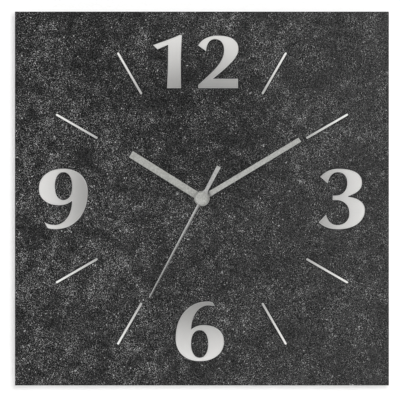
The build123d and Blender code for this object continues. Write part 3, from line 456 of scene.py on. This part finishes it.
def battery_sleeve():
    """Printed sleeve in two plain colours, shrunk over the ends of a bright steel can."""
    low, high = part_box("battery")
    axis = (low + high) / 2
    f = Finish("battery_sleeve", Coat_Weight=0.35, Coat_Roughness=0.2)
    x, y, z = f.split(f.mapped(shift=(-low.x, -axis.y, -axis.z)))
    length = high.x - low.x
    off_axis = f.math("SQRT", f.total((1.0, f.math("MULTIPLY", y, y)),
                                      (1.0, f.math("MULTIPLY", z, z))))
    crease = f.noise(2.5 * MM, 3, 0.6, place=f.mapped(stretch=(0.3, 1, 1)))
    seam = f.total((1.0, x), (0.6 * MM, crease))
    band_from, line_from, line_to = length * 0.70, length * 0.66, length * 0.675
    soft = 0.2 * MM                               # width of the printed edges
    band = f.remap(seam, band_from, band_from + 1.25 * soft)
    line = f.math("MULTIPLY", f.remap(seam, line_from, line_from + soft),
                  f.remap(seam, line_to + soft, line_to))
    body = f.mix(crease, (0.020, 0.022, 0.028, 1), (0.045, 0.048, 0.058, 1))
    gold = f.mix(crease, (0.50, 0.30, 0.09, 1), (0.72, 0.47, 0.17, 1))
    sleeve = f.mix(band, f.mix(line, body, grey(0.55)), gold)
    # bare steel where the sleeve's shrunk lip ends, on both ends and the nub
    lip = 0.35 * (high.z - low.z)
    end = f.math("ABSOLUTE", f.facing((1, 0, 0)))
    bare = f.math("MULTIPLY", f.math("GREATER_THAN", end, 0.9), f.math("LESS_THAN", off_axis, lip))
    nub_length = 1.25 * MM
    nub = f.math("GREATER_THAN", x, length - nub_length)
    steel = f.math("MAXIMUM", bare, nub)
    scuff = f.noise(1.5 * MM, 3, 0.6)
    f.set("Base Color", f.mix(steel, sleeve, f.mix(scuff, grey(0.45), grey(0.75))))
    f.set("Metallic", f.math("MAXIMUM", steel, f.math("MULTIPLY", band, 0.6)))
    f.set("Roughness", f.total((1.0, 0.22), (0.25, crease), (0.1, scuff)))
    f.set("Normal", f.bump(crease, 0.06 * MM))
    return f.material


def resin():
    """A blob of black potting: glossy, with a few pits."""
    f = Finish("resin")
    skin = f.noise(1.1 * MM, 2, 0.5)
    pits = f.remap(f.cells(0.9 * MM), 0.16, 0.10)
    f.set("Base Color", f.mix(skin, grey(0.006), grey(0.025)))
    f.set("Roughness", f.total((1.0, 0.12), (0.2, skin), (0.4, pits)))
    f.set("Normal", f.bump(f.total((0.5, skin), (-0.5, pits)), 0.05 * MM))
    return f.material


def magnet():
    """Sintered ferrite, matt with pale grains."""
    f = Finish("magnet", Metallic=0.4)
    grit = f.noise(0.25 * MM, 3, 0.8)
    f.set("Base Color", f.mix(f.remap(grit, 0.35, 0.75), grey(0.02), grey(0.16)))
    f.set("Roughness", f.total((1.0, 0.5), (0.3, grit)))
    f.set("Normal", f.bump(grit, 0.03 * MM))
    return f.material


def dress(material, *names):
    """Give the named nodes a material in every slot."""
    for name in names:
        node = nodes[name]
        if not node.material_slots:
            node.data.materials.append(material)
        for entry in node.material_slots:
            entry.link = "OBJECT"
            entry.material = material


HOURS = [f"hour_marker_{hour:02d}" for hour in (1, 2, 4, 5, 7, 8, 10, 11)]
NUMERALS = ["numeral_12_one", "numeral_12_two", "numeral_03", "numeral_06", "numeral_09"]


def pointing(node):
    """Angle of a hand, clockwise from twelve, from its far corner."""
    low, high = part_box(node)
    x = high.x if high.x - AXIS.x > AXIS.x - low.x else low.x
    z = high.z if high.z - AXIS.z > AXIS.z - low.z else low.z
    return math.degrees(math.atan2(x - AXIS.x, z - AXIS.z))


BRASS = (0.80, 0.68, 0.45, 1)
BRASS_DARK = (0.48, 0.39, 0.24, 1)

dress(printed_stone(), "dial_front_skin")
dress(panel_core(), "dial_core")
dress(sheet_metal("mill_aluminium", grey(0.70), grey(0.42), 0.28), "dial_back_skin")
dress(silver("silver_numeral", 1.045, 1.07), *NUMERALS)
dress(silver("silver_bar", 1.14, 1.16), *HOURS)
dress(satin("satin_hour", pointing("hour_hand"), 0.095, mottled=0.64), "hour_hand")
dress(satin("satin_minute", pointing("minute_hand"), 0.075, tint=(0.98, 0.985, 0.945),
            mottled=0.74), "minute_hand")
dress(satin("satin_second", pointing("second_hand"), 0.138, 0.26, (0.985, 0.985, 0.972),
            mottled=0.60, painted_slope_shade=0.64, painted_facet_light=1.4), "second_hand")
dress(satin("satin_cap", pointing("second_hand"), 0.038, 0.22, mottled=0.80, shade=0.12,
            painted_slope_shade=1.0, painted_facet_light=0.2), "second_hand_cap")
dress(turned("brass", BRASS, BRASS_DARK, 0.22, AXIS), "dial_washer", "hex_nut",
      "threaded_bushing", "hour_hand_collet", "minute_hand_collet", "second_hand_tube")
dress(moulded("rubber", grey(0.035), grey(0.012), 0.65, 0.6 * MM, 0.04 * MM), "rubber_washer")
dress(sheet_metal("zinc_steel", (0.66, 0.68, 0.70, 1), (0.38, 0.39, 0.40, 1), 0.25,
                  (1, 1, 0.08), 0.4 * MM, 6 * MM), "hanger", "hanger_plate")
dress(moulded("spacer_plastic", grey(0.090), grey(0.016), 0.42, 0.6 * MM, 0.05 * MM, gloss=0.3),
      "wall_spacer_left", "wall_spacer_right")
dress(felt(), "felt_pad_left", "felt_pad_right")
dress(moulded("case_plastic", grey(0.075), grey(0.009), 0.32, 0.60 * MM, 0.06 * MM, gloss=0.3),
      "movement_front_case", "movement_rear_cover")
dress(moulded("natural_plastic", (0.70, 0.68, 0.60, 1), (0.45, 0.42, 0.34, 1), 0.35, soft=0.15),
      "train_bridge", "middle_plate", "coil_bobbin")
dress(moulded("gear_plastic", (0.78, 0.76, 0.69, 1), (0.52, 0.50, 0.42, 1), 0.3, soft=0.15),
      "hour_wheel", "minute_arbor", "centre_wheel", "second_wheel", "third_wheel",
      "intermediate_wheel", "rotor_pinion", "setting_wheel")
dress(moulded("knob_plastic", (0.72, 0.70, 0.62, 1), (0.40, 0.38, 0.31, 1), 0.34, soft=0.15),
      "setting_knob")
dress(sheet_metal("soft_iron", grey(0.50), grey(0.25), 0.35, (0.1, 1, 1), 0.4 * MM, 5 * MM),
      "stator", "coil_core")
dress(copper_wire(), "coil_winding")
dress(circuit_board(), "circuit_board")
dress(resin(), "driver_chip")
dress(turned("nickel_can", grey(0.70), grey(0.40), 0.18, middle("quartz_crystal")),
      "quartz_crystal")
dress(battery_sleeve(), "battery")
dress(sheet_metal("plated_contact", (0.74, 0.73, 0.70, 1), (0.45, 0.44, 0.42, 1), 0.2,
                  (1, 1, 0.1), 0.35 * MM, 4 * MM), "positive_contact", "negative_contact",
      "battery_spring", "clutch_spring")
dress(turned("steel_arbor", grey(0.62), grey(0.35), 0.2, AXIS), "second_stem")
dress(magnet(), "rotor_magnet")

# ---- stage: wall, floor, light and camera ----------------------------------------------------
def sheet(name, corners, material):
    """A flat piece of the stage, from its four corners."""
    mesh = bpy.data.meshes.new(name)
    mesh.from_pydata(corners, [], [(0, 1, 2, 3)])
    mesh.materials.append(material)
    made = bpy.data.objects.new(name, mesh)
    bpy.context.scene.collection.objects.link(made)
    return made


def wall_paper():
    """Overexposed white, seen and lit only from the room's side."""
    material = bpy.data.materials.new("wall_paper")
    material.use_nodes = True
    tree = material.node_tree
    tree.nodes.clear()
    new, link = tree.nodes.new, tree.links.new
    out = new("ShaderNodeOutputMaterial")
    mix = new("ShaderNodeMixShader")
    paper = new("ShaderNodeBsdfDiffuse")
    paper.inputs["Color"].default_value = (1.13, 1.13, 1.125, 1)
    clear = new("ShaderNodeBsdfTransparent")
    side = new("ShaderNodeNewGeometry")
    link(side.outputs["Backfacing"], mix.inputs[0])
    link(paper.outputs[0], mix.inputs[1])
    link(clear.outputs[0], mix.inputs[2])
    link(mix.outputs[0], out.inputs["Surface"])
    return material


def floor_paper():
    """Pale matt paper with a faint unevenness."""
    f = Finish("floor_paper", Roughness=0.8)
    soft = f.noise(0.4, 3, 0.5)
    f.set("Base Color", f.mix(soft, grey(0.80), grey(0.86)))
    return f.material


FLOOR = PANEL_LOW.z - 0.11
WALL_HALF = 1.6
WALL_TOP = 1.3
WALL_FACE = WALL + 0.0004                         # clear of the hanger and the felt
ROOM = 4.0
wall = sheet("wall", [(-WALL_HALF, WALL_FACE, FLOOR), (WALL_HALF, WALL_FACE, FLOOR),
                      (WALL_HALF, WALL_FACE, WALL_TOP), (-WALL_HALF, WALL_FACE, WALL_TOP)],
             wall_paper())
# the wall takes the clock's shadow, and neither lights nor shades the clock
for ray in ("diffuse", "glossy", "shadow", "transmission"):
    setattr(wall, f"visible_{ray}", False)
sheet("floor", [(-ROOM, -ROOM, FLOOR), (ROOM, -ROOM, FLOOR), (ROOM, ROOM, FLOOR),
                (-ROOM, ROOM, FLOOR)], floor_paper())

AMBIENT = 0.70                                    # strength of the even light all round
KEY = 0.40                                        # level of the lamp that casts the shadow
BACK = 0.60                                       # level of the lamp on the clock's back


def lamp(name, offset, size, level, glossy):
    """A square soft light aimed at the hands' axis. level is what a white card sends back."""
    data = bpy.data.lights.new(name, "AREA")
    data.shape = "SQUARE"
    data.size = size
    away = Vector(offset)
    data.energy = level * math.pi ** 2 * away.length_squared
    made = bpy.data.objects.new(name, data)
    bpy.context.scene.collection.objects.link(made)
    made.location = AXIS + away
    made.rotation_mode = "QUATERNION"
    made.rotation_quaternion = (-away).to_track_quat("-Z", "Y")
    made.visible_camera = False
    made.visible_glossy = glossy


lamp("key", (0.098, -1.25, 0.122), 0.28, KEY, False)
lamp("behind", (-1.4, 2.4, 1.6), 0.9, BACK, True)

# the world: seen as white by the camera, and lighting evenly, but for reflections, which are
# brighter above and to the left
BRIGHT_SIDE = (-0.55, 0.0, 0.83)
BRIGHT_SHARE = 0.4
world = bpy.data.worlds.new("studio")
bpy.context.scene.world = world
world.use_nodes = True
tree = world.node_tree
tree.nodes.clear()
new, link = tree.nodes.new, tree.links.new
out = new("ShaderNodeOutputWorld")
light = new("ShaderNodeBackground")
seen = new("ShaderNodeBackground")
mix = new("ShaderNodeMixShader")
path = new("ShaderNodeLightPath")
place = new("ShaderNodeTexCoord")
slope = new("ShaderNodeVectorMath")
slope.operation = "DOT_PRODUCT"
slope.inputs[1].default_value = BRIGHT_SIDE
link(place.outputs["Generated"], slope.inputs[0])
swing = new("ShaderNodeMath")
swing.operation = "MULTIPLY"
link(slope.outputs["Value"], swing.inputs[0])
link(path.outputs["Is Glossy Ray"], swing.inputs[1])
level = new("ShaderNodeMath")
level.operation = "MULTIPLY_ADD"
level.inputs[1].default_value = AMBIENT * BRIGHT_SHARE
level.inputs[2].default_value = AMBIENT
link(swing.outputs[0], level.inputs[0])
link(level.outputs[0], light.inputs["Strength"])
seen.inputs["Strength"].default_value = 1.0
seen.inputs["Color"].default_value = (1, 1, 1, 1)
link(path.outputs["Is Camera Ray"], mix.inputs[0])
link(light.outputs[0], mix.inputs[1])
link(seen.outputs[0], mix.inputs[2])
link(mix.outputs[0], out.inputs["Surface"])

LENS = 200.0
SENSOR = 36.0
FRAME_WIDE = PANEL_SIDE * 1.069948                # the panel nearly fills the frame
LEFT, DOWN = 1.54 * MM, 1.18 * MM                 # the camera's line against the hands' axis
lens = bpy.data.cameras.new("camera")
lens.lens = LENS
lens.sensor_width = SENSOR
camera = bpy.data.objects.new("camera", lens)
bpy.context.scene.collection.objects.link(camera)
camera.location = (AXIS.x - LEFT, PANEL_FRONT - FRAME_WIDE * LENS / SENSOR, AXIS.z - DOWN)
camera.rotation_euler = (math.radians(90), 0, 0)
bpy.context.scene.camera = camera
bpy.context.scene.view_settings.view_transform = "Standard"
